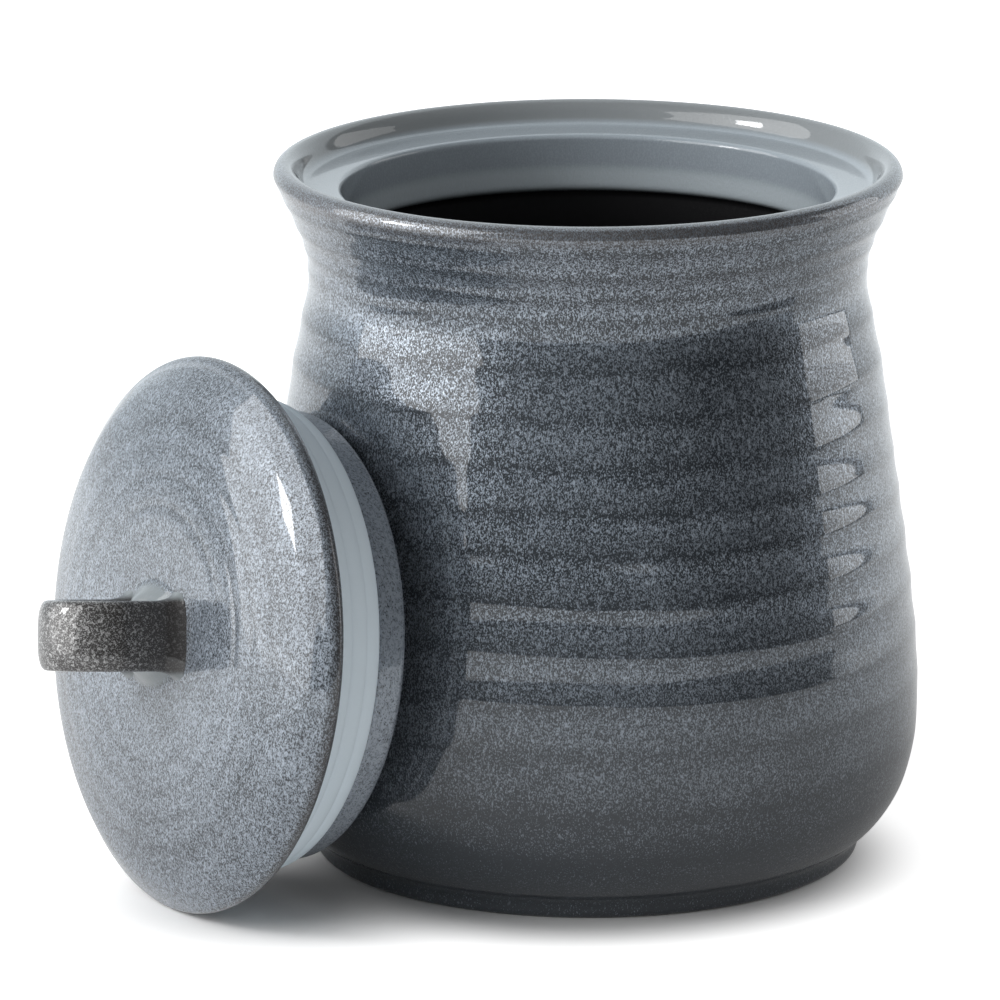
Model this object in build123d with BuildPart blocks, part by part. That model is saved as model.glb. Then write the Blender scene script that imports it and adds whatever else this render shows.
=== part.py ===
from build123d import *
import math
import os

os.makedirs("parts", exist_ok=True)

# A glazed stoneware canister with a flared neck. Its lid is off and leans on edge against the
# jar's left side. Millimetres, +Z up, the origin on the jar's axis where its foot rests.

# The jar's outside, from the foot up. Heights are from the resting face, drops from the rim.
body_height = 175.0
foot_radius = 68.2
foot_height = 4.6
foot_round = 1.8
foot_width = 9.0
foot_recess = 2.0
belly_radius = 82.9
belly_height = 42.0
neck_drop = 24.5
lip_flare = 8.4
lip_round = 3.1

# From foot to belly, from belly to neck and from neck to lip, the outline goes through points at
# these shares of the rise and of the change in radius.
heel_shares = ((0.345, 0.742),)
side_shares = ((0.31, 0.79), (0.63, 0.425), (0.83, 0.17))
flare_shares = ((0.7, 0.65),)

# Its wall, and the soft ridges that the thrower's fingers left between shallow grooves.
wall = 6.0
floor_thickness = 7.0
ridge_swell = 0.35
groove_shares = (
    0.0, 0.101, 0.172, 0.264, 0.346, 0.407, 0.465, 0.526, 0.585,
    0.658, 0.722, 0.793, 0.842, 0.882, 0.928, 0.975, 1.0,
)

# The mouth: a straight throat that the lid's seal grips, and a ledge that carries the lid.
mouth_radius = 61.0
collar_step = 2.5
ledge_drop = 5.8
ledge_round = 1.3
ledge_land = 5.0
throat_drop = 21.5

# The lid: a disc with a domed crown, and a hollow plug under it.
lid_overhang = 7.2
lid_edge_round = 3.0
crown_rise = 12.0
crown_land_radius = 24.0
crown_thickness = 8.5
plug_clearance = 5.6
plug_depth = 24.4
plug_wall = 7.0
plug_round = 2.2
flange_lip = 1.9
flange_height = 8.2
flange_round = 1.0
recess_round = 6.0

# From the flat land to the disc's edge, the crown goes through points at these shares of the way
# out and of the fall.
crown_shares = ((0.566, 0.2), (0.751, 0.383), (0.955, 0.792))

# The silicone seal in the groove above the plug's flange.
seal_fit = 0.1
seal_gap = 1.2
seal_neck_height = 1.2
seal_neck_wall = 3.6
seal_squeeze = 0.5
seal_foot_wall = 4.0
seal_rib_swell = 0.35
seal_rib_shares = (0.0, 0.3, 0.66, 1.0)

# The strap loop luted to the crown.
strap_width = 17.2
strap_thickness = 5.6
strap_round = 2.2
loop_width = 29.0
loop_height = 30.0
root_flare = 2.6
root_height = 3.6

# How the lid leans: the side of the jar that it leans on, how far its face is turned from that
# side, how far it tips back, and how its handle is turned about the lid's own axis.
lean_side_angle = 28.2
lid_turn_angle = 2.6
lean_back_angle = 7.6
handle_turn_angle = 12.0
lean_clearance = 0.3

# Worked out from the sizes above.
neck_radius = mouth_radius + collar_step + wall
neck_height = body_height - neck_drop
lip_radius = neck_radius + lip_flare
lip_height = body_height - lip_round
heel_points = [
    (
        foot_radius + radius_share * (belly_radius - foot_radius),
        foot_height + height_share * (belly_height - foot_height),
    )
    for height_share, radius_share in heel_shares
]
side_points = [
    (
        neck_radius + radius_share * (belly_radius - neck_radius),
        belly_height + height_share * (neck_height - belly_height),
    )
    for height_share, radius_share in side_shares
]
flare_points = [
    (
        neck_radius + radius_share * lip_flare,
        neck_height + height_share * (lip_height - neck_height),
    )
    for height_share, radius_share in flare_shares
]
hollow_points = [(radius - wall, height) for radius, height in reversed(side_points)]
ledge_height = body_height - ledge_drop
throat_bottom = body_height - throat_drop
disc_radius = mouth_radius + lid_overhang
crown_points = [
    (
        crown_land_radius + out_share * (disc_radius - crown_land_radius),
        crown_rise * (1 - fall_share),
    )
    for out_share, fall_share in crown_shares
]
plug_radius = mouth_radius - plug_clearance
core_radius = plug_radius - flange_lip
plug_bottom = -lid_edge_round - plug_depth
flange_top = plug_bottom + flange_height
recess_radius = plug_radius - plug_wall


def swollen(line, shares, swell):
    """Arcs along a line, from share to share of its length, each bulging to the line's right."""
    for lower, upper in zip(shares, shares[1:]):
        middle = (lower + upper) / 2
        outwards = (line % middle).rotate(Axis.Z, -90)
        ThreePointArc(line @ lower, line @ middle + outwards * swell, line @ upper)


# The jar: one thrown and glazed piece, turned about Z. The line runs up the ridged outside, over
# the rolled lip, down the ledge and throat, under the collar and down the hollow to the floor.
with BuildPart() as jar_body:
    with BuildSketch(Plane.XZ):
        with BuildLine():
            Line((foot_radius - foot_width, 0), (foot_radius - foot_round, 0))
            foot_bend = TangentArc(
                (foot_radius - foot_round, 0), (foot_radius, foot_round), tangent=(1, 0)
            )
            foot_side = Line(foot_bend @ 1, (foot_radius, foot_height))
            smooth_wall = Spline(
                foot_side @ 1,
                *heel_points,
                (belly_radius, belly_height),
                *side_points,
                (neck_radius, neck_height),
                *flare_points,
                (lip_radius, lip_height),
                mode=Mode.PRIVATE,
            )
            swollen(smooth_wall, groove_shares, ridge_swell)
            lip = TangentArc(
                (lip_radius, lip_height), (lip_radius - lip_round, body_height), tangent=(0, 1)
            )
            Spline(
                lip @ 1,
                (mouth_radius + ledge_round + ledge_land, ledge_height),
                tangents=[lip % 1, (-1, 0)],
            )
            Line(
                (mouth_radius + ledge_round + ledge_land, ledge_height),
                (mouth_radius + ledge_round, ledge_height),
            )
            mouth_edge = TangentArc(
                (mouth_radius + ledge_round, ledge_height),
                (mouth_radius, ledge_height - ledge_round),
                tangent=(-1, 0),
            )
            throat = Line(mouth_edge @ 1, (mouth_radius, throat_bottom + collar_step))
            collar = TangentArc(
                throat @ 1, (mouth_radius + collar_step, throat_bottom), tangent=(0, -1)
            )
            Line(collar @ 1, (neck_radius - wall, neck_height))
            hollow = Spline(
                (neck_radius - wall, neck_height),
                *hollow_points,
                (belly_radius - wall, belly_height),
                (foot_radius - foot_width - wall, floor_thickness),
                tangents=[(0, -1), (-1, 0)],
            )
            Line(hollow @ 1, (0, floor_thickness))
            Line((0, floor_thickness), (0, foot_recess))
            Line((0, foot_recess), (foot_radius - foot_width - foot_recess, foot_recess))
            Line(
                (foot_radius - foot_width - foot_recess, foot_recess),
                (foot_radius - foot_width, 0),
            )
        make_face()
    revolve(axis=Axis.Z)
jar_body.part.label = "jar_body"

# The lid stands on the rounded edge of its disc, and the rim of its plug leans on the jar's wall.
# That rim is rounded inside and out, about two circles of spine points, so the lid's reach from
# the jar's axis is right when the nearer circle is one round and one clearance off the wall.
lid_side = Vector(-1, 0, 0).rotate(Axis.Z, lean_side_angle)
lid_facing = Vector(-1, 0, 0).rotate(Axis.Z, lean_side_angle + lid_turn_angle)
lid_across = Vector(0, 0, 1).cross(lid_facing)
lid_normal = lid_facing.rotate(Axis((0, 0, 0), lid_across), -lean_back_angle)
lid_up = lid_normal.cross(lid_across)
disc_spine_radius = disc_radius - lid_edge_round
lid_centre_height = disc_spine_radius * math.cos(math.radians(lean_back_angle)) + lid_edge_round


def lid_centre_at(reach):
    """The middle of the disc, at a reach from the jar's axis."""
    return lid_side * reach + Vector(0, 0, lid_centre_height)


def rim_spine_gap(reach):
    """The distance from the jar to the nearer of the circles inside the plug's rounded rim."""
    rim_plane = Plane(
        lid_centre_at(reach) + lid_normal * (plug_bottom + plug_round), z_dir=lid_normal
    )
    radii = (plug_radius - plug_round, recess_radius + plug_round)
    return min(Edge.make_circle(r, rim_plane).distance_to(jar_body.part) for r in radii)


lid_reach = belly_radius - plug_bottom + lid_overhang
for closer in range(5):
    lid_reach -= rim_spine_gap(lid_reach) - plug_round - lean_clearance
lid_centre = lid_centre_at(lid_reach)
lid_axis = Axis(lid_centre, lid_normal)
lid_section = Plane(lid_centre, x_dir=lid_up, z_dir=lid_up.cross(lid_normal))

# The lid: one piece, turned about its own axis. In its section x is the radius and y the height
# over the disc's widest circle.
with BuildPart() as lid:
    with BuildSketch(lid_section):
        with BuildLine():
            Line((0, crown_rise), (crown_land_radius, crown_rise))
            Spline(
                (crown_land_radius, crown_rise),
                *crown_points,
                (disc_radius, 0),
                tangents=[(1, 0), (0, -1)],
            )
            edge_under = TangentArc(
                (disc_radius, 0), (disc_spine_radius, -lid_edge_round), tangent=(0, -1)
            )
            Line(edge_under @ 1, (core_radius, -lid_edge_round))
            Line((core_radius, -lid_edge_round), (core_radius, flange_top))
            Line((core_radius, flange_top), (plug_radius - flange_round, flange_top))
            flange_bend = TangentArc(
                (plug_radius - flange_round, flange_top),
                (plug_radius, flange_top - flange_round),
                tangent=(1, 0),
            )
            flange_side = Line(flange_bend @ 1, (plug_radius, plug_bottom + plug_round))
            rim_bend = TangentArc(
                flange_side @ 1, (plug_radius - plug_round, plug_bottom), tangent=(0, -1)
            )
            Line(rim_bend @ 1, (recess_radius + plug_round, plug_bottom))
            inner_bend = TangentArc(
                (recess_radius + plug_round, plug_bottom),
                (recess_radius, plug_bottom + plug_round),
                tangent=(-1, 0),
            )
            recess_top = crown_rise - crown_thickness
            recess_side = Line(inner_bend @ 1, (recess_radius, recess_top - recess_round))
            ceiling_bend = TangentArc(
                recess_side @ 1, (recess_radius - recess_round, recess_top), tangent=(0, 1)
            )
            Line(ceiling_bend @ 1, (0, recess_top))
            Line((0, recess_top), (0, crown_rise))
        make_face()
    revolve(axis=lid_axis)
lid.part.label = "lid"

# The seal: a silicone sleeve round the plug's core. A short neck seats on the underside of the
# disc, and below it the ribbed skirt narrows from a light squeeze in the throat to its foot.
seal_bore_radius = core_radius + seal_fit
seal_top = -lid_edge_round
skirt_top = seal_top - seal_neck_height
seal_bottom = flange_top + seal_gap
with BuildPart() as lid_seal:
    with BuildSketch(lid_section):
        with BuildLine():
            Line((seal_bore_radius, seal_top), (seal_bore_radius + seal_neck_wall, seal_top))
            Line(
                (seal_bore_radius + seal_neck_wall, seal_top),
                (seal_bore_radius + seal_neck_wall, skirt_top),
            )
            Line(
                (seal_bore_radius + seal_neck_wall, skirt_top),
                (mouth_radius + seal_squeeze, skirt_top),
            )
            skirt = Line(
                (seal_bore_radius + seal_foot_wall, seal_bottom),
                (mouth_radius + seal_squeeze, skirt_top),
                mode=Mode.PRIVATE,
            )
            swollen(skirt, seal_rib_shares, seal_rib_swell)
            Line((seal_bore_radius + seal_foot_wall, seal_bottom), (seal_bore_radius, seal_bottom))
            Line((seal_bore_radius, seal_bottom), (seal_bore_radius, seal_top))
        make_face()
    revolve(axis=lid_axis)
lid_seal.part.label = "lid_seal"

# The handle: a strap bent into a loop, with its edges rounded, on the flat land of the crown.
# Each end spreads into a root where it is luted on.
crown_centre = lid_centre + lid_normal * crown_rise
loop_direction = lid_across.rotate(lid_axis, handle_turn_angle)
loop_plane = Plane(crown_centre, x_dir=loop_direction, z_dir=loop_direction.cross(lid_normal))
crown_plane = Plane(crown_centre, x_dir=loop_direction, z_dir=lid_normal)
outer_bend_radius = loop_width / 2
inner_bend_radius = outer_bend_radius - strap_thickness
bend_height = loop_height - outer_bend_radius
with BuildPart() as lid_handle:
    with BuildSketch(loop_plane):
        with BuildLine():
            left_leg = Line((-outer_bend_radius, 0), (-outer_bend_radius, bend_height))
            outer_bend = TangentArc(
                left_leg @ 1, (outer_bend_radius, bend_height), tangent=(0, 1)
            )
            Line(outer_bend @ 1, (outer_bend_radius, 0))
            Line((outer_bend_radius, 0), (inner_bend_radius, 0))
            right_inside = Line((inner_bend_radius, 0), (inner_bend_radius, bend_height))
            inner_bend = TangentArc(
                right_inside @ 1, (-inner_bend_radius, bend_height), tangent=(0, 1)
            )
            Line(inner_bend @ 1, (-inner_bend_radius, 0))
            Line((-inner_bend_radius, 0), (-outer_bend_radius, 0))
        make_face()
    extrude(amount=strap_width / 2, both=True)
    strap_edges = lid_handle.edges().filter_by(
        lambda edge: abs(abs(loop_plane.to_local_coords(edge.center()).Z) - strap_width / 2)
        < strap_round / 2
    ).filter_by(
        lambda edge: loop_plane.to_local_coords(edge.center()).Y > root_height
    )
    fillet(strap_edges, radius=strap_round)
    with BuildSketch(crown_plane):
        for side in (-1, 1):
            with Locations((side * (outer_bend_radius - strap_thickness / 2), 0)):
                RectangleRounded(
                    strap_thickness + 2 * root_flare, strap_width + 2 * root_flare, root_flare
                )
    extrude(amount=root_height, taper=math.degrees(math.atan(root_flare / root_height)))
lid_handle.part.label = "lid_handle"

pieces = (jar_body, lid, lid_seal, lid_handle)
for piece in pieces:
    export_step(piece.part, f"parts/{piece.part.label}.step")
    print(piece.part.label, "volume", round(piece.part.volume), "valid", piece.part.is_valid)
print("lid reach", round(lid_reach, 3), "gap", round(lid.part.distance_to(jar_body.part), 3))
print("lid lowest", round(lid.part.bounding_box().min.Z, 4))
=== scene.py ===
# %% [markdown]
# # A stoneware pickle jar with its lid off
# A glazed jar stands on a white table. Its lid leans against its left side on edge, with the
# strap handle towards us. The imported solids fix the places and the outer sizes. The scene sets the
# camera, swaps the solids for finer surfaces in the same places and gives those their glazes. Then
# it adds the table, the room and the lamps.

# %% Load the frame
import math
import bpy
import numpy as np
from mathutils import Matrix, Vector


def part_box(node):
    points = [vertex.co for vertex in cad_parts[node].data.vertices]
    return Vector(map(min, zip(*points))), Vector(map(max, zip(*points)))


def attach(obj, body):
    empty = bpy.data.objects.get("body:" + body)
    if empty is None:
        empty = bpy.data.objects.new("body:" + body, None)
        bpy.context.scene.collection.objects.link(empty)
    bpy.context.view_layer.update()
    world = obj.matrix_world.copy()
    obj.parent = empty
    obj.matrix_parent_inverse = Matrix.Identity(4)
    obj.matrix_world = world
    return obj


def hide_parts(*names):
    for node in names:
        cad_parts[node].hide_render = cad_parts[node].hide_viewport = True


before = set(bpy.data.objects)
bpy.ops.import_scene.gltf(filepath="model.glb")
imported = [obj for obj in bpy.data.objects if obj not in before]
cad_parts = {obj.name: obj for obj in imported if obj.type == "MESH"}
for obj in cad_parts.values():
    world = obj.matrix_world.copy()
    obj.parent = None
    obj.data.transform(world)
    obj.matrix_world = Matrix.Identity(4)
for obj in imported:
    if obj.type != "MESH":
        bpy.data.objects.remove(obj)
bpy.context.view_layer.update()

mm = 0.001
scene = bpy.context.scene
scene.view_settings.view_transform = "Standard"

# %% [markdown]
# The camera comes first, because every later choice is judged through it. The photograph was
# taken from far away with a long lens, so its lines stay nearly parallel. A fit of the jar's and
# the lid's outlines gave the distance, the tilt and the lens.

# %% The camera
camera_place = (-0.02175, -2.1756, 0.6449)
camera_tilt = 75.654
camera_lens, camera_reach = 324.0, 30.0
camera_data = bpy.data.cameras.new("camera")
camera_data.lens = camera_lens
camera_data.clip_end = camera_reach
camera = bpy.data.objects.new("camera", camera_data)
camera.location = camera_place
camera.rotation_euler = (math.radians(camera_tilt), 0.0, 0.0)
scene.collection.objects.link(camera)
scene.camera = camera
print("camera", camera_place, "tilted", camera_tilt)

# %% [markdown]
# Glaze needs a good deal of shader maths. Wiring Math nodes by hand hides the formula, so one
# small class wraps a socket: adding, taking away, multiplying or dividing adds the Math node. A
# second class holds a node tree and adds every other kind of node by one method.

# %% A wrapped socket
class Wire:
    """A number on its way through a node tree. The usual operators add Math nodes to it."""

    def __init__(self, recipe, socket):
        self.recipe, self.socket = recipe, socket

    def __add__(self, other):
        return self.recipe.maths("ADD", self, other)

    def __radd__(self, other):
        return self.recipe.maths("ADD", other, self)

    def __sub__(self, other):
        return self.recipe.maths("SUBTRACT", self, other)

    def __rsub__(self, other):
        return self.recipe.maths("SUBTRACT", other, self)

    def __mul__(self, other):
        return self.recipe.maths("MULTIPLY", self, other)

    def __rmul__(self, other):
        return self.recipe.maths("MULTIPLY", other, self)

    def __truediv__(self, other):
        return self.recipe.maths("DIVIDE", self, other)


# %% A node tree that writes itself
class Recipe:
    """A node tree in the making. put() adds one node of any type: its settings are set first,
    then its inputs get a value or a wire each, and the wire of one output comes back."""

    def __init__(self, tree):
        self.tree = tree
        tree.nodes.clear()

    def put(self, kind, settings=None, inputs=None, output=0):
        node = self.tree.nodes.new(kind)
        for name, value in (settings or {}).items():
            if name == "stops":
                set_stops(node.color_ramp, value)
            else:
                setattr(node, name, value)
        for name, value in (inputs or {}).items():
            socket = node.inputs[name]
            if isinstance(value, Wire):
                self.tree.links.new(value.socket, socket)
            elif socket.type == "RGBA" and len(value) == 3:
                socket.default_value = (*value, 1.0)
            else:
                socket.default_value = value
        return Wire(self, node.outputs[output]) if len(node.outputs) else None

    def maths(self, operation, *values):
        return self.put("ShaderNodeMath", {"operation": operation}, dict(enumerate(values)))

    def step(self, value, low, high):
        """0 below low and 1 above high, with a smooth S between them."""
        return self.put(
            "ShaderNodeMapRange", {"interpolation_type": "SMOOTHSTEP"}, {0: value, 1: low, 2: high}
        )

    def mix(self, share, first, second, blend="MIX"):
        """The first colour where share is 0, the second where it is 1."""
        return self.put(
            "ShaderNodeMix", {"data_type": "RGBA", "blend_type": blend},
            {0: share, 6: first, 7: second}, 2,
        )

    def noise(self, place, scale, detail, roughness):
        """Smooth noise, mostly from 0.3 to 0.7, with about as many bumps to the metre as the
        scale says."""
        return self.put("ShaderNodeTexNoise", {}, {
            "Vector": place, "Scale": scale, "Detail": detail, "Roughness": roughness,
        })

    def trait(self, name):
        """A number that the mesh carries at each vertex."""
        return self.put("ShaderNodeAttribute", {"attribute_name": name}, output=2)


def set_stops(ramp, stops):
    """Give a colour ramp its stops, pairs of a position and a grey level."""
    while len(ramp.elements) < len(stops):
        ramp.elements.new(1.0)
    for element, (position, grey) in zip(ramp.elements, stops):
        element.position, element.color = position, (grey, grey, grey, 1.0)


print("the shader kit is ready")

# %% [markdown]
# Every piece of this jar was made on a wheel or bent from a strip, so each is a section carried
# round an axis or along a path. One function weaves a grid of points into a mesh. Rows follow one
# another along the section, or along the handle's path, and columns go round. A pole closes each
# end, unless the rows form a ring.

# %% From a grid of points to a mesh
def woven(name, points, traits, poles=(), ring=False):
    """Quads join each point to the next row and the next column, and the last column joins the
    first. With ring=True the last row joins the first too. Each of the two poles is a point that
    a fan of triangles joins to the first or the last row. A trait has a number for each row, or
    for each point."""
    rows, columns = points.shape[:2]
    index = np.arange(rows * columns).reshape(rows, columns)
    lower, upper = (index, np.roll(index, -1, 0)) if ring else (index[:-1], index[1:])
    quads = np.stack([lower, np.roll(lower, -1, 1), np.roll(upper, -1, 1), upper], -1)
    faces = quads.reshape(-1, 4).tolist()
    if len(poles):
        first, last = index[0], index[-1]
        start = np.stack([np.roll(first, -1), first, np.full(columns, index.size)], -1)
        end = np.stack([last, np.roll(last, -1), np.full(columns, index.size + 1)], -1)
        faces += start.tolist() + end.tolist()
        points = np.concatenate([points.reshape(-1, 3), np.array(poles)])
    mesh = bpy.data.meshes.new(name)
    mesh.from_pydata((points.reshape(-1, 3) * mm).tolist(), [], faces)
    for trait, per_row in traits.items():
        values = np.broadcast_to(per_row if np.ndim(per_row) == 2 else np.reshape(per_row, (-1, 1)),
                                 (rows, columns)).ravel()
        if len(poles):
            values = np.concatenate([values, [values[0], values[-1]]])
        mesh.attributes.new(trait, "FLOAT", "POINT").data.foreach_set("value", values.astype("f"))
    mesh.shade_smooth()
    piece = bpy.data.objects.new(name, mesh)
    scene.collection.objects.link(piece)
    print(name, "triangles", sum(len(face) - 2 for face in faces))
    return piece


# %% A smooth line through points
def smooth_through(points, count, start, end):
    """A cubic spline through the points over its chord length. The second derivatives at the
    points solve a small linear system, so that neither slope nor bend jumps. The line leaves the
    first point in the direction start and reaches the last in the direction end."""
    points = np.array(points, float)
    gaps = np.linalg.norm(np.diff(points, axis=0), axis=1)
    knots = np.concatenate([[0.0], np.cumsum(gaps)])
    slopes = np.diff(points, axis=0) / gaps[:, None]
    size = len(points)
    system, target = np.zeros((size, size)), np.zeros((size, 2))
    inner = np.arange(1, size - 1)
    system[inner, inner - 1], system[inner, inner + 1] = gaps[:-1], gaps[1:]
    system[inner, inner] = 2 * (gaps[:-1] + gaps[1:])
    target[1:-1] = 6 * np.diff(slopes, axis=0)
    system[0, :2], target[0] = (2 * gaps[0], gaps[0]), 6 * (slopes[0] - np.array(start))
    system[-1, -2:], target[-1] = (gaps[-1], 2 * gaps[-1]), 6 * (np.array(end) - slopes[-1])
    second = np.linalg.solve(system, target)
    place = np.linspace(0.0, knots[-1], count)
    cell = np.clip(np.searchsorted(knots, place) - 1, 0, size - 2)
    width = gaps[cell][:, None]
    after, before = place[:, None] - knots[cell][:, None], knots[cell + 1][:, None] - place[:, None]
    return (
        second[cell] * before ** 3 / (6 * width) + second[cell + 1] * after ** 3 / (6 * width)
        + (points[cell] / width - second[cell] * width / 6) * before
        + (points[cell + 1] / width - second[cell + 1] * width / 6) * after
    )


# %% Straight runs and round corners
def run(first, last, count):
    """Evenly spaced points from first to last, without the last."""
    share = np.arange(count)[:, None] / count
    return np.array(first) * (1 - share) + np.array(last) * share


def bend(centre, radius, first_angle, last_angle, count):
    """Points on a circle round the centre, from one angle to the other, without the last."""
    angle = np.radians(first_angle + (last_angle - first_angle) * np.arange(count) / count)
    return np.array(centre) + radius * np.stack([np.cos(angle), np.sin(angle)], -1)


print("a test bend", bend((0, 0), 1, 0, 90, 3).round(2).tolist())

# %% [markdown]
# ## The jar
# The jar is one thrown pot. Its section goes from the middle of the underside out over the foot,
# up the ringed wall, round the rolled lip, down the ledge and the throat, and down the hollow to
# the middle of the floor. One closed shell gives the wall a real thickness everywhere.

# %% The jar's sizes in millimetres
jar_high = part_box("jar_body")[1]
rim_height = jar_high.z / mm
foot_radius, foot_height, foot_round, foot_inner, foot_recess = 68.2, 4.6, 1.8, 59.2, 2.0
underside_inner, floor_inner = 20.0, 10.0
heel_rise, cove_round = (0.827, 0.562), 4.0
belly_radius, belly_height = 82.9, 42.0
neck_radius, neck_height = 69.5, 150.5
lip_radius, lip_round, lip_rise = 77.9, 3.1, (0.405, 0.914)
mouth_radius, mouth_round, mouth_height = 61.0, 1.3, 168.7
ledge_outer, ledge_height, ledge_fall = 69.1, 169.3, (-0.995, -0.1)
steep_points = [(72.2, 172.8), (71.0, 170.3)]
collar_round, throat_bottom = 2.5, 153.5
wall, floor_height, hollow_floor_radius = 6.0, 7.0, 53.2
heel_points = [(79.11, 17.5)]
side_points = [(80.09, 75.64), (75.2, 110.36), (71.78, 132.06)]
flare_points = [(74.96, 165.48)]
print("rim height", round(rim_height, 2), "belly from the frame", round(jar_high.x / mm, 2))

# %% The jar's section
outer_rows = 250
cove_turn = math.degrees(math.atan2(heel_rise[0], heel_rise[1]))
cove_reach = cove_round * math.tan(math.radians(cove_turn / 2))
cove_low = foot_height - cove_reach
foot = np.concatenate([
    run((underside_inner, foot_recess), (foot_inner - foot_recess, foot_recess), 4),
    run((foot_inner - foot_recess, foot_recess), (foot_inner, 0.0), 3),
    run((foot_inner, 0.0), (foot_radius - foot_round, 0.0), 3),
    bend((foot_radius - foot_round, foot_round), foot_round, -90, 0, 6),
    run((foot_radius, foot_round), (foot_radius, cove_low), 2),
    bend((foot_radius + cove_round, cove_low), cove_round, 180, 180 - cove_turn, 8),
])
outside = smooth_through([
    (foot_radius + cove_reach * heel_rise[0], foot_height + cove_reach * heel_rise[1]),
    *heel_points, (belly_radius, belly_height), *side_points,
    (neck_radius, neck_height), *flare_points, (lip_radius, rim_height - lip_round),
], outer_rows, start=heel_rise, end=lip_rise)
lip = bend((lip_radius - lip_round, rim_height - lip_round), lip_round, 0, 90, 12)[1:]
ledge_slope = smooth_through(
    [(lip_radius - lip_round, rim_height), *steep_points, (ledge_outer, ledge_height)], 30,
    start=(-1.0, 0.0), end=ledge_fall,
)[:-1]
mouth = np.concatenate([
    run((ledge_outer, ledge_height), (mouth_radius + mouth_round, mouth_height), 6),
    bend((mouth_radius + mouth_round, mouth_height - mouth_round), mouth_round, 90, 180, 8),
])
throat = np.concatenate([
    run((mouth_radius, mouth_height - mouth_round),
        (mouth_radius, throat_bottom + collar_round), 16),
    bend((mouth_radius + collar_round, throat_bottom + collar_round), collar_round, 180, 270, 8),
])
hollow = np.concatenate([
    run((neck_radius - wall, throat_bottom), (neck_radius - wall, neck_height), 2),
    smooth_through([
        (neck_radius - wall, neck_height), *[(r - wall, z) for r, z in reversed(side_points)],
        (belly_radius - wall, belly_height), (hollow_floor_radius, floor_height),
    ], 60, start=(0.0, -1.0), end=(-1.0, 0.0)),
    run((hollow_floor_radius, floor_height), (floor_inner, floor_height), 6)[1:],
])
jar_section = np.concatenate([foot, outside, lip, ledge_slope, mouth, throat, hollow])
print("rows", len(jar_section))

# %% [markdown]
# The thrower's fingers left shallow hollows, and where two of them meet stands a low crest. No
# hollow is quite even. The relief is worked out for the whole grid at once: a height between two
# crests becomes a share from 0 to 1, a dip over that share gives the hollow, and slow waves round
# the jar bend the crests and fade the hollows. The glassy glaze mirrors the table and the dark
# room by turns along them, so less than half a millimetre is all they need.

# %% The rings on the wall
crest_heights = np.array([
    4.6, 18.0, 30.0, 46.0, 57.8, 70.5, 82.3, 93.7, 103.5,
    114.4, 125.3, 137.5, 149.6, 155.0, 161.0, 168.0, 171.9,
])
hollow_depths = np.array([
    0.06, 0.08, 0.12, 0.18, 0.31, 0.29, 0.25, 0.20,
    0.12, 0.15, 0.34, 0.27, 0.18, 0.28, 0.30, 0.08,
])
wander, flutter, depth_play, drift_most, fade_rows = 0.7, 0.25, 0.25, 0.05, 4.0
columns = 216
turn = np.linspace(0.0, 2 * math.pi, columns, endpoint=False)[None, :]


def waves(seed, height, count=4, low=1, high=5):
    """A slow wander round the jar that drifts with the height: a sum of cosines of whole
    multiples of the angle, each with its own phase and its own drift, mostly from -1 to 1."""
    dice = np.random.default_rng(seed)
    multiples = dice.integers(low, high, count)
    phases, drifts = dice.uniform(0, 2 * math.pi, count), dice.uniform(-drift_most, drift_most, count)
    total = sum(
        np.cos(k * turn + phase + drift * height)
        for k, phase, drift in zip(multiples, phases, drifts)
    )
    return total / math.sqrt(count)


def ring_relief(height):
    """The wall's rise at a height, and the share of the way between two crests. The dip is half
    a parabola, 4 s (1 - s), and half a raised cosine, so the crests stay a little round."""
    wandered = height + wander * waves(3, height) + flutter * waves(5, height, 5, 4, 10)
    band = np.interp(wandered, crest_heights, np.arange(len(crest_heights)))
    cell = np.minimum(band.astype(int), len(hollow_depths) - 1)
    share = band - cell
    dip = 2 * share * (1 - share) + (1 - np.cos(2 * math.pi * share)) / 4
    depth = hollow_depths[cell] * (1.0 + depth_play * waves(11, height))
    return depth * (0.5 - dip), share


relief, ring_share = ring_relief(outside[:, 1:])
slope = np.gradient(outside, axis=0)
normal = np.stack([slope[:, 1], -slope[:, 0]], -1) / np.linalg.norm(slope, axis=1)[:, None]
from_end = np.minimum(np.arange(outer_rows), np.arange(outer_rows)[::-1])
fade = np.clip(from_end / fade_rows, 0, 1)[:, None]
wall_rows = slice(len(foot), len(foot) + outer_rows)
rise = np.zeros((len(jar_section), columns))
rise[wall_rows] = relief * fade
outward = np.zeros((len(jar_section), 2))
outward[wall_rows] = normal
jar_radius = jar_section[:, :1] + rise * outward[:, :1]
jar_height = jar_section[:, 1:] + rise * outward[:, 1:]
print("relief from", relief.min().round(3), "to", relief.max().round(3))

# %% [markdown]
# The glaze changes along the section: dark and speckled outside, brown on the edge and plain
# blue-grey inside the lip. Inside, the steep slope and the upper throat are painted darker, as
# painted shade, and the lower throat, where the collar rounds, is painted paler, as a painted
# sheen. The deep hollow is black, partly a dark inner glaze and partly painted shade. Each of these
# is a trait, a number from 0 to 1 that the mesh carries at its vertices and that the glaze reads.

# %% What each part of the section is glazed with
part_names = ("foot", "outside", "lip", "ledge", "mouth", "throat", "hollow")
part_sizes = [len(part) for part in (foot, outside, lip, ledge_slope, mouth, throat, hollow)]
row = np.arange(len(jar_section))


def row_of(name, share):
    """The row number at a share of the way through one part of the section."""
    place = part_names.index(name)
    return sum(part_sizes[:place]) + share * part_sizes[place]


def between(first, last, soft):
    """1 on the rows from first to last, falling to 0 over a few rows at each end."""
    return np.clip((row - first) / soft + 0.5, 0, 1) * np.clip((last - row) / soft + 0.5, 0, 1)


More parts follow.
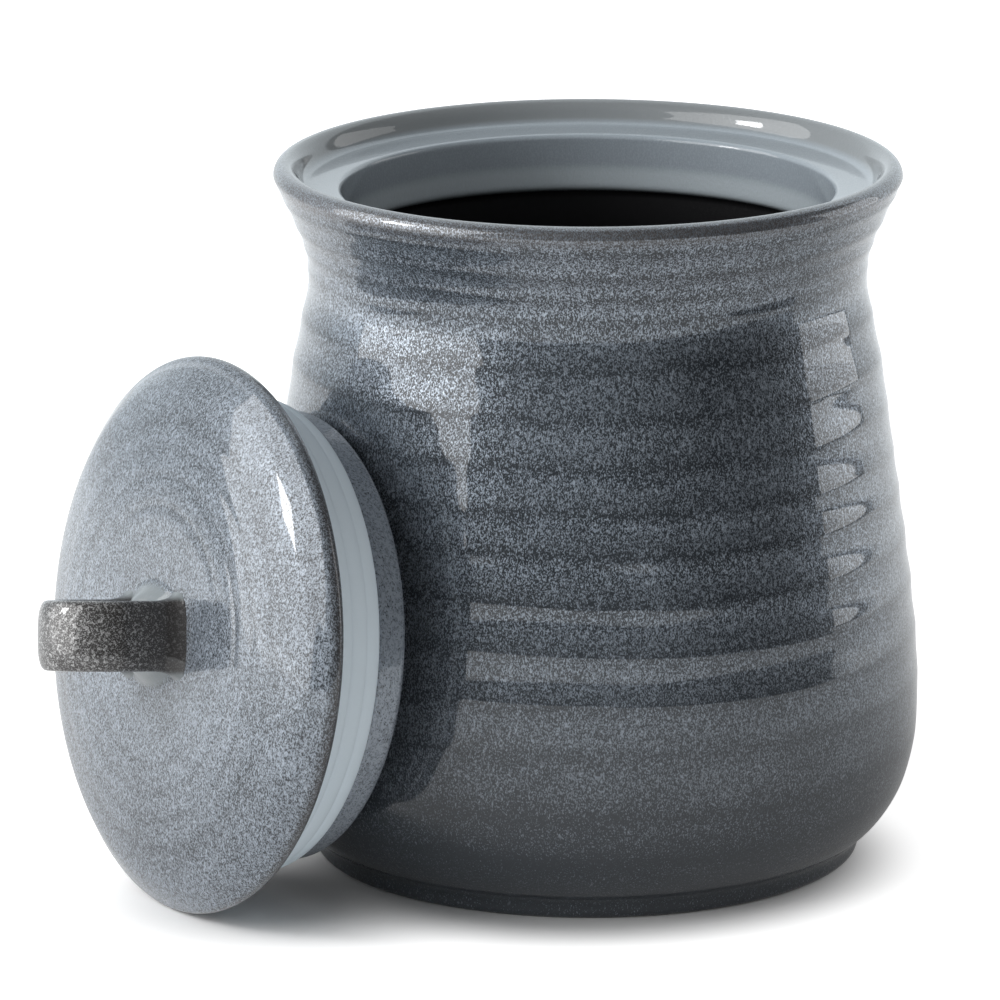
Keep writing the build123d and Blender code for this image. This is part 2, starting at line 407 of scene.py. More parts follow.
inner_share = between(row_of("lip", 0.85), row_of("throat", 0.9), 5.0)
throat_share = between(row_of("mouth", 0.9), row_of("throat", 0.95), 3.0)
roll_share = between(row_of("lip", 0.6), row_of("ledge", 0.75), 6.0)
# The next trait marks where a painted sheen lies low in the throat.
pool_share = between(row_of("throat", 0.42), row_of("throat", 0.95), 3.0)
hollow_share = np.clip((row - row_of("throat", 0.75)) / 4.0, 0, 1)
edge_share = between(row_of("outside", 0.985), row_of("lip", 1.0), 4.0)
crest_share = np.zeros((len(jar_section), columns))
crest_share[wall_rows] = (np.abs(2 * ring_share - 1) ** 3) * fade
bare_share = between(row_of("foot", 0.24), row_of("foot", 0.40), 1.0)
jar_traits = {
    "inner": inner_share, "hollow": hollow_share, "edge": edge_share, "crest": crest_share,
    "bare": bare_share, "roll": roll_share, "throat": throat_share, "pool": pool_share,
}
jar_points = np.stack(
    [jar_radius * np.cos(turn), jar_radius * np.sin(turn), jar_height + 0 * turn], -1
)
jar = woven(
    "jar", jar_points, poles=((0, 0, foot_recess), (0, 0, floor_height)), traits=jar_traits
)
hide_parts("jar_body")
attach(jar, "jar")

# %% [markdown]
# ## The lid
# The lid was thrown as one piece too: a domed disc with a hollow plug under it. It leans, so its
# section is carried round its own axis. The angles are the ones the solid was built with, and the
# solid's own vertices say where the middle of the disc is.

# %% Where the lid stands
lean_side, lid_turn, lean_back, handle_turn = 28.2, 2.6, 7.6, 12.0
facing_left, crown_rise = 180, 12.0
facing = math.radians(facing_left + lean_side + lid_turn)
back = math.radians(lean_back)
lid_across = np.array([-math.sin(facing), math.cos(facing), 0.0])
lid_normal = np.array([
    math.cos(facing) * math.cos(back), math.sin(facing) * math.cos(back), math.sin(back)
])
lid_up = np.cross(lid_normal, lid_across)
lid_vertices = np.zeros(len(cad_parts["lid"].data.vertices) * 3, "f")
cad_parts["lid"].data.vertices.foreach_get("co", lid_vertices)
lid_vertices = lid_vertices.reshape(-1, 3) / mm


def extent(direction):
    """The lowest and highest reach of the lid's solid along a direction."""
    reach = lid_vertices @ direction
    return reach.min(), reach.max()


lid_centre = (
    lid_across * sum(extent(lid_across)) / 2 + lid_up * sum(extent(lid_up)) / 2
    + lid_normal * (extent(lid_normal)[1] - crown_rise)
)
print("lid centre", lid_centre.round(2), "normal", lid_normal.round(4))

# %% The lid's section, from the middle of the hollow out and back over the crown
disc_radius, disc_edge_round = 68.2, 3.0
crown_land_radius, crown_points = 24.0, [(66.2, 2.5), (62.6, 5.15), (57.2, 7.4), (49.0, 9.6)]
plug_radius, core_radius, plug_bottom, plug_round = 55.4, 53.5, -27.4, 2.2
flange_top, flange_round = -19.2, 1.0
recess_radius, recess_top, recess_round = 48.4, 3.5, 6.0
mound_width, mound_stretch, mound_slope, mound_rise = 13.6, 1.16, 4.5, 2.6
crown_rows, recess_inner, crown_inner = 90, 8.0, 6.0
lid_hollow = np.concatenate([
    run((recess_inner, recess_top), (recess_radius - recess_round, recess_top), 5),
    bend((recess_radius - recess_round, recess_top - recess_round), recess_round, 90, 0, 10),
    run((recess_radius, recess_top - recess_round), (recess_radius, plug_bottom + plug_round), 10),
    bend((recess_radius + plug_round, plug_bottom + plug_round), plug_round, 180, 270, 8),
])
plug = np.concatenate([
    run((recess_radius + plug_round, plug_bottom), (plug_radius - plug_round, plug_bottom), 3),
    bend((plug_radius - plug_round, plug_bottom + plug_round), plug_round, -90, 0, 8),
    run((plug_radius, plug_bottom + plug_round), (plug_radius, flange_top - flange_round), 6),
    bend((plug_radius - flange_round, flange_top - flange_round), flange_round, 0, 90, 6),
    run((plug_radius - flange_round, flange_top), (core_radius, flange_top), 2),
    run((core_radius, flange_top), (core_radius, -disc_edge_round), 8),
])
disc_edge = np.concatenate([
    run((core_radius, -disc_edge_round), (disc_radius - disc_edge_round, -disc_edge_round), 10),
    bend((disc_radius - disc_edge_round, 0.0), disc_edge_round, -90, 0, 12),
])
crown = smooth_through(
    [(disc_radius, 0.0), *crown_points, (crown_land_radius, crown_rise), (crown_inner, crown_rise)],
    crown_rows, start=(0.0, 1.0), end=(-1.0, 0.0),
)
crown[:, 1] = np.minimum(crown[:, 1], crown_rise)
lid_section = np.concatenate([lid_hollow, plug, disc_edge, crown])
print("rows", len(lid_section), "crown top", crown[:, 1].max())

# %% [markdown]
# A thrown lid keeps faint rings too, round its own middle, shallower than most of the jar's. With
# s the share of the way from one ring to the next, the dip is |2 s - 1|^3 of the full depth, so a
# narrow groove marks each ring. Under the handle lies a low oval mound, where the potter smoothed
# wet clay round the strap's ends. With s the share of the way up its slope, it stands 3 s^2 - 2 s^3
# of its full rise over the crown, a smooth S. The rim, a few rows before the crown, breaks brown.

# %% The lid's mesh
def about_lid_axis(radius, height, angle):
    """Points at a radius, an angle and a height over the disc, in the frame of the jar."""
    along = radius * np.cos(angle)
    across = radius * np.sin(angle)
    return (
        lid_centre + along[..., None] * lid_across + across[..., None] * lid_up
        + (height + 0 * angle)[..., None] * lid_normal
    )


lid_columns, lid_ring_depth, ring_oval = 240, 0.10, 0.5
land_fade, land_share, ring_margin, margin_fade = 4.0, 0.35, 1.5, 3.0
edge_level, edge_back, edge_fall, plug_early, plug_soft = 1.4, 3, 4.0, 4, 2.0
rim_line_radius, rim_line_width, line_middle, line_swing = 66.1, 0.45, 0.35, 0.9
lid_angle = np.linspace(0.0, 2 * math.pi, lid_columns, endpoint=False)[None, :]
lid_rings = np.array([0.0, 9.0, 17.5, 25.0, 31.5, 39.0, 45.5, 52.0, 75.0])
ring_place = np.interp(
    crown[:, :1] + ring_oval * np.cos(2 * lid_angle + 1.0), lid_rings, np.arange(len(lid_rings))
)
lid_ring_share = ring_place - np.floor(ring_place)
lid_ring_dip = lid_ring_depth * (np.abs(2 * lid_ring_share - 1) ** 3)
lid_ring_dip *= np.clip((crown[:, :1] - crown_land_radius) / land_fade, land_share, 1)
lid_ring_dip *= np.clip((disc_radius - ring_margin - crown[:, :1]) / margin_fade, 0, 1)
mound_angle = lid_angle - math.radians(handle_turn)
mound_reach = crown[:, :1] * np.hypot(np.cos(mound_angle) / mound_stretch, np.sin(mound_angle))
mound_share = np.clip((mound_width - mound_reach) / mound_slope, 0, 1)
lid_height = np.repeat(lid_section[:, 1:], lid_columns, 1)
lid_height[-crown_rows:] += mound_rise * mound_share ** 2 * (3 - 2 * mound_share) - lid_ring_dip
lid_row = np.arange(len(lid_section))
crown_start = len(lid_section) - crown_rows
under_crown = np.zeros((crown_start, lid_columns))
# A pale line just inside the lid's rim, strong on one side and gone on the other, is a painted
# highlight.
rim_line_share = np.exp(-((lid_section[:, 0] - rim_line_radius) / rim_line_width) ** 2)
lid_traits = {
    "edge": np.clip(edge_level - np.abs(lid_row - crown_start + edge_back) / edge_fall, 0, 1),
    "line": (rim_line_share * (lid_row >= crown_start))[:, None]
    * np.clip(line_middle - line_swing * np.cos(lid_angle), 0, 1),
    "ring": np.concatenate([under_crown, lid_ring_dip / lid_ring_depth]),
    "mound": np.concatenate([under_crown, mound_share]),
    "plug": np.clip((lid_row - len(lid_hollow) + plug_early) / plug_soft, 0, 1)
    * np.clip((crown_start - len(disc_edge) - lid_row) / plug_soft, 0, 1),
}
lid = woven(
    "lid_dome", about_lid_axis(lid_section[:, :1] + 0 * lid_angle, lid_height, lid_angle),
    poles=(lid_centre + lid_normal * recess_top,
           lid_centre + lid_normal * (crown_rise + mound_rise)),
    traits=lid_traits,
)
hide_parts("lid")
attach(lid, "lid")

# %% [markdown]
# ## The seal
# A silicone sleeve is stretched round the plug's core. Its skirt has low soft ribs, which press
# on the throat one after the other. With t the share of the way from one groove to the next, a rib
# stands 4 t (1 - t) of its height, to the power of its fullness, which is under 1 and so rounds its
# back. The sleeve's section closes on itself, so the grid is a ring both ways.

# %% The seal's section and mesh
seal_bore, seal_neck_wall, seal_neck_bottom = 53.6, 3.6, -4.2
skirt_top_radius, skirt_foot_radius, seal_bottom, seal_top = 61.5, 57.6, -18.0, -3.0
rib_shares = np.array([0.0, 0.3, 0.66, 1.0])
rib_height, rib_fullness, seal_foot_rows, skirt_rows = 0.4, 0.6, 4, 54
skirt_share = np.linspace(0.0, 1.0, skirt_rows)
rib_place = np.interp(skirt_share, rib_shares, np.arange(len(rib_shares)))
rib_arch = (4 * (rib_place % 1.0) * (1 - rib_place % 1.0)) ** rib_fullness
skirt_slope = np.array([skirt_top_radius - skirt_foot_radius, seal_neck_bottom - seal_bottom])
skirt_normal = np.array([skirt_slope[1], -skirt_slope[0]]) / np.linalg.norm(skirt_slope)
skirt = (
    np.array([skirt_foot_radius, seal_bottom]) + skirt_share[:, None] * skirt_slope
    + rib_height * rib_arch[:, None] * skirt_normal
)
seal_section = np.concatenate([
    run((seal_bore, seal_bottom), (skirt_foot_radius, seal_bottom), seal_foot_rows), skirt,
    run((skirt_top_radius, seal_neck_bottom), (seal_bore + seal_neck_wall, seal_neck_bottom), 4)[1:],
    run((seal_bore + seal_neck_wall, seal_neck_bottom), (seal_bore + seal_neck_wall, seal_top), 3),
    run((seal_bore + seal_neck_wall, seal_top), (seal_bore, seal_top), 3),
    run((seal_bore, seal_top), (seal_bore, seal_bottom), 4),
])
rib_trait = np.zeros(len(seal_section))
rib_trait[seal_foot_rows:seal_foot_rows + skirt_rows] = 1 - rib_arch
seal = woven(
    "seal_sleeve",
    about_lid_axis(seal_section[:, :1] + 0 * lid_angle, seal_section[:, 1:] + 0 * lid_angle,
                   lid_angle),
    ring=True, traits={"rib": rib_trait},
)
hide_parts("lid_seal")
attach(seal, "lid")

# %% [markdown]
# ## The handle
# The handle is a flat strip of clay, bent into a loop for one finger and luted to the crown. A
# strap section is carried up one leg, round the bend and down the other leg. Near the crown the
# section swells, where wet clay was smoothed into the lid. With u the share of the way up the
# flare, the swelling is 1 - sqrt(1 - (1 - u)^2) of its full size, the hollow side of a quarter
# circle. Traits say how close a point is to the crown and to the strap's edge, where 1 is the edge
# of the plain strap and more is out on the swelling.

# %% The loop's path
strap_width, strap_thickness, strap_corner = 17.2, 5.6, 2.9
loop_width, loop_height, root_flare, flare_reach, root_sink = 29.0, 30.0, 2.6, 6.72, 0.5
row_crowding, root_fade, low_start, low_reach = 1.6, 5.0, 2.0, 12.0
path_radius = (loop_width - strap_thickness) / 2
leg_height = loop_height - loop_width / 2
leg_rows, bend_rows, section_count = 36, 60, 96
down_leg = np.linspace(1.0, 0.0, leg_rows, endpoint=False) ** row_crowding
leg = leg_height - (leg_height + root_sink) * down_leg
path = np.concatenate([
    np.stack([np.full(leg_rows, -path_radius), leg], -1),
    bend((0.0, leg_height), path_radius, 180, 0, bend_rows),
    np.stack([np.full(leg_rows + 1, path_radius), np.append(leg, leg_height)[::-1]], -1),
])
path_slope = np.gradient(path, axis=0)
path_slope /= np.linalg.norm(path_slope, axis=1)[:, None]
print("path points", len(path), "from", path[0].round(2), "to", path[-1].round(2))


# %% The handle's mesh
def strap_section(count, corner):
    """The strap's section with both half sizes 1, as a superellipse: |x|^n + |y|^n = 1, where n is
    the corner. 2 gives a circle, and a larger n is squarer."""
    angle = np.linspace(0.0, 2 * math.pi, count, endpoint=False)
    power = 2.0 / corner
    x = np.sign(np.cos(angle)) * np.abs(np.cos(angle)) ** power
    y = np.sign(np.sin(angle)) * np.abs(np.sin(angle)) ** power
    return x, y


over_crown = np.clip(path[:, 1] / flare_reach, 0.0, 1.0)
swelling = root_flare * (1 - np.sqrt(1 - (1 - over_crown) ** 2))
out_of_loop = np.stack([-path_slope[:, 1], path_slope[:, 0]], -1)
section_x, section_y = strap_section(section_count, strap_corner)
thick = (strap_thickness / 2 + swelling)[:, None] * section_x
wide = (strap_width / 2 + swelling)[:, None] * section_y
in_loop = path[:, None, :] + thick[..., None] * out_of_loop[:, None, :]
turned = math.radians(handle_turn)
loop_across = math.cos(turned) * lid_across + math.sin(turned) * lid_up
loop_side = np.cross(loop_across, lid_normal)
crown_middle = lid_centre + lid_normal * crown_rise


def in_handle_frame(along, over, side):
    """Points by their place along the loop, over the crown and to the strap's side."""
    return (
        crown_middle + along[..., None] * loop_across + over[..., None] * lid_normal
        + side[..., None] * loop_side
    )


handle_points = in_handle_frame(in_loop[..., 0], in_loop[..., 1], wide)
handle_ends = in_handle_frame(
    np.array([-path_radius, path_radius]), np.full(2, path[0, 1]), np.zeros(2)
)
handle = woven(
    "strap_handle", handle_points, poles=handle_ends,
    traits={"root": 1 - np.clip(path[:, 1] / root_fade, 0, 1),
            # The low trait marks where the glaze paints shade on the legs near the crown.
            "low": 1 - np.clip((path[:, 1] - low_start) / low_reach, 0, 1),
            "edge": np.abs(wide) / (strap_width / 2)},
)
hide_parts("lid_handle")
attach(handle, "lid")

# %% [markdown]
# ## The glazes
# Jar, lid and handle wear one reactive glaze. Over a dark slate ground float fine pale grains,
# close together where the glaze lies thick and few where it ran thin. Edges break to a warm
# brown. All of it is worked out from object coordinates, so it neither slides nor repeats. A pair
# of levels says between which values a noise turns from ground to speckle. A cover says how much
# of the colour below is hidden. A loss or a gain says how much thinner or thicker the glaze lies,
# except that the jar's grains thin out and its ground darkens towards the foot as painted shade.
# Polish is how much smoother a pale grain is, and the bed height is how far the crystals rise, in
# metres.

# %% The colours
slate_dark = (0.017, 0.022, 0.028)
slate_pale = (0.52, 0.59, 0.68)
brown_break = (0.088, 0.080, 0.077)
inner_blue, inner_deep = (0.33, 0.38, 0.42), (0.27, 0.31, 0.345)
inner_pool, inner_roll = (0.40, 0.45, 0.48), (0.24, 0.26, 0.27)
# The first colour on the next line is a painted rim highlight.
rim_line, mound_grey = (0.62, 0.66, 0.70), (0.21, 0.235, 0.245)
handle_dark, handle_pale = (0.034, 0.031, 0.030), (0.50, 0.50, 0.50)
# The next colour is partly a dark inner glaze and partly painted shade.
hollow_black = (0.010, 0.010, 0.011)
bare_clay = (0.16, 0.13, 0.11)
grain_scale, fleck_share, cloud_scale, patch_scale = 3000.0, 0.42, 26.0, 90.0
grain_stretch = (1.0, 1.0, 0.62)
crystal_roughness, glass_roughness = 0.42, 0.04


def new_recipe(name):
    """An empty material and its recipe."""
    material = bpy.data.materials.new(name)
    material.use_nodes = True
    return material, Recipe(material.node_tree)


def glaze_fields(recipe, stretch=grain_stretch):
    """What the glazes share: the place, the grain and the flecks, both drawn out a little
    upwards by the stretch, and the large clouds and small patches of thicker glaze."""
    place = recipe.put("ShaderNodeTexCoord", output=3)
    drawn = recipe.put("ShaderNodeVectorMath", {"operation": "MULTIPLY"}, {0: place, 1: stretch})
    return {
        "place": place,
        "grain": recipe.noise(drawn, grain_scale, detail=2.0, roughness=0.6),
        "flecks": recipe.noise(drawn, grain_scale * fleck_share, detail=1.0, roughness=0.5),
        "cloud": recipe.noise(place, cloud_scale, detail=3.0, roughness=0.55),
        "patch": recipe.noise(place, patch_scale, detail=2.0, roughness=0.5),
    }


def uneven(fields, clouds, patches):
    """How much thicker the glaze lies than on average, by large clouds and small patches."""
    return clouds * (fields["cloud"] - 0.5) + patches * (fields["patch"] - 0.5)


def speckles(recipe, fields, thick, grain_levels, fleck_levels):
    """Grains and flecks, each 0 below its first level and 1 above its second. More of them pass
    where the glaze lies thick."""
    return (
        recipe.step(fields["grain"] + thick, *grain_levels),
        recipe.step(fields["flecks"] + thick, *fleck_levels),
    )


def finish_glaze(recipe, colour, metal, roughness, height, distance):
    """A bumpy bed of crystals, some of which flash like metal, under a smooth coat of glass."""
    bump = recipe.put("ShaderNodeBump", {}, {"Strength": 1.0, "Distance": distance, "Height": height})
    shader = recipe.put("ShaderNodeBsdfPrincipled", {}, {
        "Base Color": colour, "Metallic": metal, "Roughness": roughness, "Normal": bump,
        "Specular IOR Level": 0.25, "Coat Weight": 1.0, "Coat Roughness": glass_roughness,
        "Coat IOR": 1.5,
    })
    recipe.put("ShaderNodeOutputMaterial", {}, {"Surface": shader})


def show(piece, material):
    """Give a piece its only material."""
    piece.data.materials.clear()
    piece.data.materials.append(material)
    print(piece.name, "wears", material.name, "of", len(material.node_tree.nodes), "nodes")


print("grain of", round(1000 / grain_scale, 2), "mm")

# %% The jar's glaze
grain_levels, fleck_levels = (0.46, 0.60), (0.54, 0.64)
run_heights, thin_heights = (0.004, 0.050), (0.035, 0.095)
grain_cover, fleck_cover, thin_cover, edge_cover = 0.58, 0.22, 0.05, 0.65
edge_grain, inner_grain, crest_loss, run_loss = 0.32, 0.12, 0.05, 0.12
flash_share, polish, bed_height = 0.85, 0.1, 0.00008
jar_material, recipe = new_recipe("jar_glaze")
fields = glaze_fields(recipe)
height = recipe.put("ShaderNodeSeparateXYZ", {}, {0: fields["place"]}, 2)
crest, edge = recipe.trait("crest"), recipe.trait("edge")
inner, hollow_part, bare = recipe.trait("inner"), recipe.trait("hollow"), recipe.trait("bare")
# Low on the wall the grains thin out, fewer of them flash, and the ground darkens towards the foot:
# this is painted shade.
run_down = 1.0 - recipe.step(height, *run_heights)
thick = uneven(fields, clouds=0.10, patches=0.06) - crest_loss * crest - run_loss * run_down
risen = 0.5 + 0.5 * recipe.step(height, *thin_heights)
grains, flecks = speckles(recipe, fields, thick, grain_levels, fleck_levels)
speckle = (grains * grain_cover + flecks * fleck_cover) * risen + thin_cover * (1 - risen)
ground = recipe.mix(speckle, slate_dark, slate_pale)
broken = recipe.mix(grains * edge_grain, brown_break, slate_pale)
ground = recipe.mix(edge * edge_cover, ground, broken)
# The darker grey on the steep slope inside the lip and the darker grey on the upper throat are
# painted shade.
inner_colour = recipe.mix(recipe.trait("roll"), inner_blue, inner_roll)
inner_colour = recipe.mix(recipe.trait("throat"), inner_colour, inner_deep)
# The paler grey low in the throat, where the collar rounds, is a painted sheen.
inner_colour = recipe.mix(recipe.trait("pool"), inner_colour, inner_pool)
inner_grains = grains * inner_grain * (1 - recipe.trait("roll"))
inner_colour = recipe.mix(inner_grains, inner_colour, slate_pale)
ground = recipe.mix(inner, ground, inner_colour)
# The near-black of the deep hollow is partly a dark inner glaze and partly painted shade.
ground = recipe.mix(hollow_part, ground, hollow_black)
ground = recipe.mix(bare, ground, bare_clay)
flash = grains * flash_share * risen * (1 - inner) * (1 - bare) * (1 - hollow_part)
bed = fields["grain"] * 0.5 + fields["flecks"]
finish_glaze(recipe, ground, flash, crystal_roughness - polish * grains, bed, bed_height)
show(jar, jar_material)

# %% The lid's glaze
grain_levels, fleck_levels, mound_levels = (0.42, 0.56), (0.50, 0.60), (0.0, 0.5)
grain_cover, fleck_cover, edge_cover, edge_grain, line_cover = 0.40, 0.17, 0.55, 0.3, 0.6
edge_loss, plug_gain, ring_loss, show_through = 0.08, 0.08, 0.035, 0.25
flash_share, polish, bed_height = 0.3, 0.06, 0.00006
lid_material, recipe = new_recipe("lid_glaze")
fields = glaze_fields(recipe)
edge, plug_part, line = (recipe.trait(name) for name in ("edge", "plug", "line"))
ring, mound = recipe.trait("ring"), recipe.trait("mound")
thick = uneven(fields, clouds=0.10, patches=0.06)
thick = thick - edge_loss * edge + plug_gain * plug_part - ring_loss * ring
grains, flecks = speckles(recipe, fields, thick, grain_levels, fleck_levels)
speckle = grains * grain_cover + flecks * fleck_cover
ground = recipe.mix(speckle, slate_dark, slate_pale)
broken = recipe.mix(grains * edge_grain, brown_break, slate_pale)
ground = recipe.mix(edge * edge_cover, ground, broken)
# The pale line mixed in here is a painted highlight on the rim.
ground = recipe.mix(line * line_cover, ground, rim_line)
mound_cover = recipe.step(mound, *mound_levels) * (1 - show_through * speckle)
ground = recipe.mix(mound_cover, ground, mound_grey)
bed = fields["grain"] * 0.5 + fields["flecks"]
rough = crystal_roughness - polish * grains
finish_glaze(recipe, ground, grains * flash_share, rough, bed, bed_height)
show(lid, lid_material)

# %% The handle's glaze
grain_levels, fleck_levels, flare_levels = (0.51, 0.63), (0.56, 0.65), (0.95, 1.12)
grain_cover, fleck_cover, low_share = 0.55, 0.45, 0.8
flash_share, polish, bed_height = 0.4, 0.1, 0.00006
handle_material, recipe = new_recipe("handle_glaze")
fields = glaze_fields(recipe, (1.0, 1.0, 1.0))
root = recipe.trait("root")
thick = uneven(fields, clouds=0.12, patches=0.08)
grains, flecks = speckles(recipe, fields, thick, grain_levels, fleck_levels)
# Towards the crown the strap's specks fade and its legs go darker: this is painted shade.
thinned = 1 - low_share * recipe.trait("low")
speckle = (grains * grain_cover + flecks * fleck_cover) * thinned
ground = recipe.mix(speckle, handle_dark, handle_pale)
smoothed = root * recipe.step(recipe.trait("edge"), *flare_levels)
ground = recipe.mix(smoothed, ground, mound_grey)
rough = crystal_roughness - polish * speckle
finish_glaze(recipe, ground, speckle * flash_share, rough, fields["flecks"], bed_height)
show(handle, handle_material)

# %% [markdown]
# The seal is cast silicone of a nearly even, pale blue-grey, a little paler in soft patches. The
# grooves between its ribs are painted darker, as painted shade. Fine dust makes it satin.

# %% The silicone
seal_pale, seal_groove, seal_patch = (0.72, 0.82, 0.89), (0.60, 0.69, 0.76), (0.78, 0.85, 0.90)
groove_cover, patch_from, patch_cover, dust_scale, tone_scale = 0.5, 0.4, 0.3, 900.0, 40.0
satin_least, satin_dust, dust_height = 0.42, 0.12, 0.00003
seal_material, recipe = new_recipe("seal_silicone")
place = recipe.put("ShaderNodeTexCoord", output=3)
rib = recipe.trait("rib")
dust = recipe.noise(place, dust_scale, detail=2.0, roughness=0.6)
tone = recipe.noise(place, tone_scale, detail=2.0, roughness=0.5)
# The darker grey in the grooves between the ribs is painted shade.
colour = recipe.mix(rib * rib * groove_cover, seal_pale, seal_groove)
colour = recipe.mix((tone - patch_from) * patch_cover, colour, seal_patch)
satin = satin_least + satin_dust * dust
bump = recipe.put("ShaderNodeBump", {}, {
    "Strength": 1.0, "Distance": dust_height, "Height": dust,
})
shader = recipe.put("ShaderNodeBsdfPrincipled", {}, {
    "Base Color": colour, "Roughness": satin, "IOR": 1.42, "Normal": bump,
})
recipe.put("ShaderNodeOutputMaterial", {}, {"Surface": shader})
show(seal, seal_material)

# %% [markdown]
# ## The table and the studio
# The jar stands on a white table in a white room. The table keeps the real shadows close to the
# foot and the lid. Further out it glows: for the camera, so that it looks as white as the room,
# and by another amount for the rays that glossy glaze mirrors. Those rays also see a dark cloth
# across the front and one at the right. Diffuse rays see neither glow nor cloth, so the matt part
# of a glaze gets its light from the lamps, the room and the plain table. A reach is a pair of
# distances in metres, between which an effect comes in.

# %% The table
table_half, table_white, near_glow, far_glow = 6.0, 0.86, 0.75, 0.2
lid_foot, foot_shadow, squeeze = (-0.080, -0.052, 0.0), (0.0, -0.012, 0.0), (1.01, 1, 1)
room_tint, cloth_grey, mirror_glow, mirror_far_glow = (0.93, 1.01, 1.06), (0.06,) * 3, 0.21, 0.3
open_reach, open_lid_reach, far_reach = (0.070, 0.30), (0.0, 0.10), (0.25, 0.7)
foot_reach, lid_reach = (0.059, 0.087), (0.015, 0.064)
front_reach, side_reach, side_front_reach = (1.10, 1.30), (0.40, 0.46), (0.0, 0.02)
table_mesh = bpy.data.meshes.new("table")
table_mesh.from_pydata(
    [(-table_half, -table_half, 0), (table_half, -table_half, 0),
     (table_half, table_half, 0), (-table_half, table_half, 0)], [], [(0, 1, 2, 3)]
)
table = bpy.data.objects.new("table", table_mesh)
scene.collection.objects.link(table)
table_material, recipe = new_recipe("table_white")
place = recipe.put("ShaderNodeTexCoord", output=3)
seen = recipe.put("ShaderNodeLightPath", output=0)
mirrored = recipe.put("ShaderNodeLightPath", output=3)
from_jar = recipe.put("ShaderNodeVectorMath", {"operation": "LENGTH"}, {0: place}, 1)
squeezed = recipe.put("ShaderNodeVectorMath", {"operation": "MULTIPLY"}, {0: place, 1: squeeze})
from_foot = recipe.put(
    "ShaderNodeVectorMath", {"operation": "DISTANCE"}, {0: squeezed, 1: foot_shadow}, 1
)
from_lid = recipe.put("ShaderNodeVectorMath", {"operation": "DISTANCE"}, {0: place, 1: lid_foot}, 1)
open_floor = recipe.step(from_jar, *open_reach) * recipe.step(from_lid, *open_lid_reach)
far_off = recipe.step(from_jar, *far_reach)
lit_floor = recipe.step(from_foot, *foot_reach) * recipe.step(from_lid, *lid_reach)
forward = 0.0 - recipe.put("ShaderNodeSeparateXYZ", {}, {0: place}, 1)
rightward = recipe.put("ShaderNodeSeparateXYZ", {}, {0: place}, 0)
beside = recipe.step(rightward, *side_reach) * recipe.step(forward, *side_front_reach)
cloth = (1 - (1 - recipe.step(forward, *front_reach)) * (1 - beside)) * mirrored
matt = recipe.put("ShaderNodeBsdfDiffuse", {}, {
    "Color": recipe.mix(cloth, (table_white,) * 3, cloth_grey),
})
glow = recipe.put("ShaderNodeEmission", {}, {
    "Color": recipe.mix(mirrored, (1.0, 1.0, 1.0), room_tint),
    "Strength": seen * (lit_floor * near_glow + far_off * far_glow)
    + mirrored * (open_floor * mirror_glow + far_off * mirror_far_glow) * (1 - cloth),
})
both = recipe.put("ShaderNodeAddShader", {}, {0: matt, 1: glow})
recipe.put("ShaderNodeOutputMaterial", {}, {"Surface": both})
show(table, table_material)

# %% [markdown]
# The room is one background. The camera sees plain white. The soft light on everything is one
# even grey. Mirrored rays see a level that changes with the bearing, in degrees from the way to
# the camera, with the right positive: dark in front and at the sides, pale behind.

# %% The room: what the camera, the glossy glaze and the soft light each get from it
room_stops = [
    (-180, 1.0), (-150, 1.0), (-145, 0.8), (-118, 0.7), (-100, 0.40), (-84, 0.08),
    (-44, 0.08), (-38, 0.22), (20, 0.18), (40, 0.06), (60, 0.05), (127, 0.05), (129, 0.95),
    (180, 1.0),
]
room_fill = 0.40
scene.world = bpy.data.worlds.new("room")
scene.world.use_nodes = True
recipe = Recipe(scene.world.node_tree)
direction = recipe.put("ShaderNodeTexCoord", output=0)
sideways = recipe.put("ShaderNodeSeparateXYZ", {}, {0: direction}, 0)
backwards = recipe.put("ShaderNodeSeparateXYZ", {}, {0: direction}, 1)
bearing = recipe.maths("ARCTAN2", sideways, 0.0 - backwards)
round_about = recipe.put("ShaderNodeValToRGB", {
    "stops": [((degrees + 180) / 360, grey) for degrees, grey in room_stops],
}, {0: bearing / (2 * math.pi) + 0.5})
seen = recipe.put("ShaderNodeLightPath", output=0)
mirrored = recipe.put("ShaderNodeLightPath", output=3)
tinted = recipe.mix(1.0, round_about, room_tint, "MULTIPLY")
level = recipe.mix(mirrored, (room_fill,) * 3, tinted)
level = recipe.mix(seen, level, (1.0, 1.0, 1.0))
air = recipe.put("ShaderNodeBackground", {}, {"Color": level, "Strength": 1.0})
recipe.put("ShaderNodeOutputWorld", {}, {"Surface": air})
print("room levels", room_stops)

# %% [markdown]
# Three lamps do the work. A coloured lamp would hide what the glaze is, so all are white: a small
# bright one on the left, well above the rim, a wide dim one round it, and a square window close by
# on the right. The window stands in a black board. The jar mirrors both, and the rings cut the lit
# window into scallops with a dark rim. Only mirrored rays see the board, so it shades nothing.

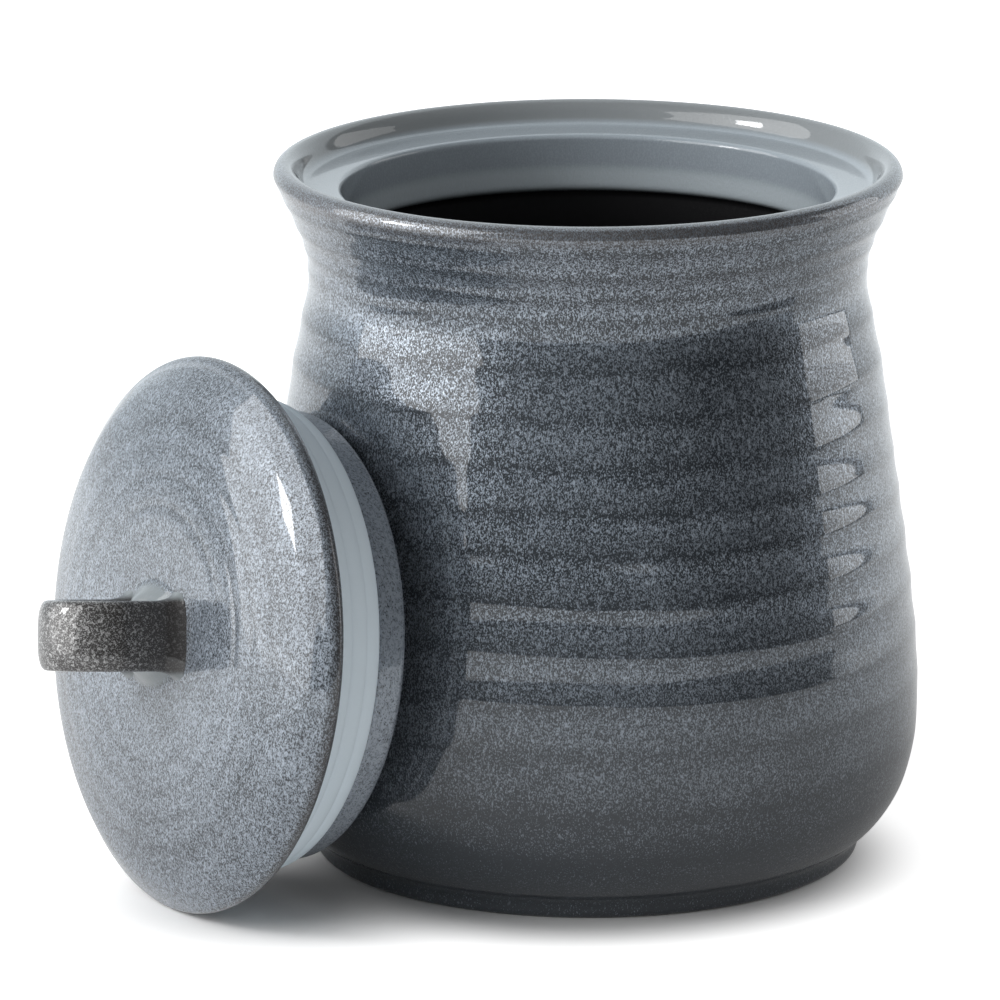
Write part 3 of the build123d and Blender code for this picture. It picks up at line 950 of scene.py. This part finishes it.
# %% The lamps
def softbox(name, direction, distance, size, power, aim=(0.0, 0.0, 0.09)):
    """A flat lamp of a width and a height, at a distance in a direction from what it faces. The
    lamp comes back with the two directions that span it."""
    data = bpy.data.lights.new(name, "AREA")
    data.shape, data.size, data.size_y, data.energy = "RECTANGLE", size[0], size[1], power
    lamp = bpy.data.objects.new(name, data)
    unit = np.array(direction) / np.linalg.norm(direction)
    lamp.location = np.array(aim) + distance * unit
    sideways = np.cross((0.0, 0.0, 1.0), unit)
    sideways /= np.linalg.norm(sideways)
    upwards = np.cross(unit, sideways)
    lamp.rotation_euler = Matrix((sideways, upwards, unit)).transposed().to_euler()
    scene.collection.objects.link(lamp)
    return lamp, sideways, upwards


key, *_ = softbox(
    "key_lamp", direction=(-0.864, -0.248, 0.412), distance=1.2, size=(0.24, 0.28), power=3.2
)
softbox(
    "key_surround", direction=(-0.89, -0.27, 0.36), distance=1.22, size=(1.40, 1.25), power=15.0
)
window_size = (0.544, 0.54)
side, along, upwards = softbox(
    "side_lamp", direction=(0.927, 0.375, 0.239), distance=0.85, size=window_size, power=1.25,
    aim=(0.06, -0.045, 0.1),
)
print("key at", [round(v, 3) for v in key.location], "side at", [round(v, 3) for v in side.location])

# %% The black board with its window
# Four corners of the window and four of the board, in the lamp's own plane. A face for each side
# of the window joins them.
board_front, board_rim, felt_black = 1.7, 0.018, (0.01, 0.01, 0.011)
half_width, half_height = window_size[0] / 2, window_size[1] / 2
inner_corners = [(-half_width, -half_height), (half_width, -half_height),
                 (half_width, half_height), (-half_width, half_height)]
outer_corners = [(-half_width - board_front, -half_height - board_rim),
                 (half_width + board_rim, -half_height - board_rim),
                 (half_width + board_rim, half_height + board_rim),
                 (-half_width - board_front, half_height + board_rim)]
board_points = np.array(inner_corners + outer_corners)
board_mesh = bpy.data.meshes.new("black_board")
board_mesh.from_pydata(
    (np.array(side.location) + board_points[:, :1] * along + board_points[:, 1:] * upwards).tolist(),
    [], [(i, 4 + i, 4 + (i + 1) % 4, (i + 1) % 4) for i in range(4)],
)
board = bpy.data.objects.new("black_board", board_mesh)
scene.collection.objects.link(board)
board.visible_camera = board.visible_diffuse = board.visible_shadow = False
board.visible_transmission = board.visible_volume_scatter = False
board_material, recipe = new_recipe("black_felt")
felt = recipe.put("ShaderNodeBsdfDiffuse", {}, {"Color": felt_black})
recipe.put("ShaderNodeOutputMaterial", {}, {"Surface": felt})
show(board, board_material)
print("board corners", len(board_points))
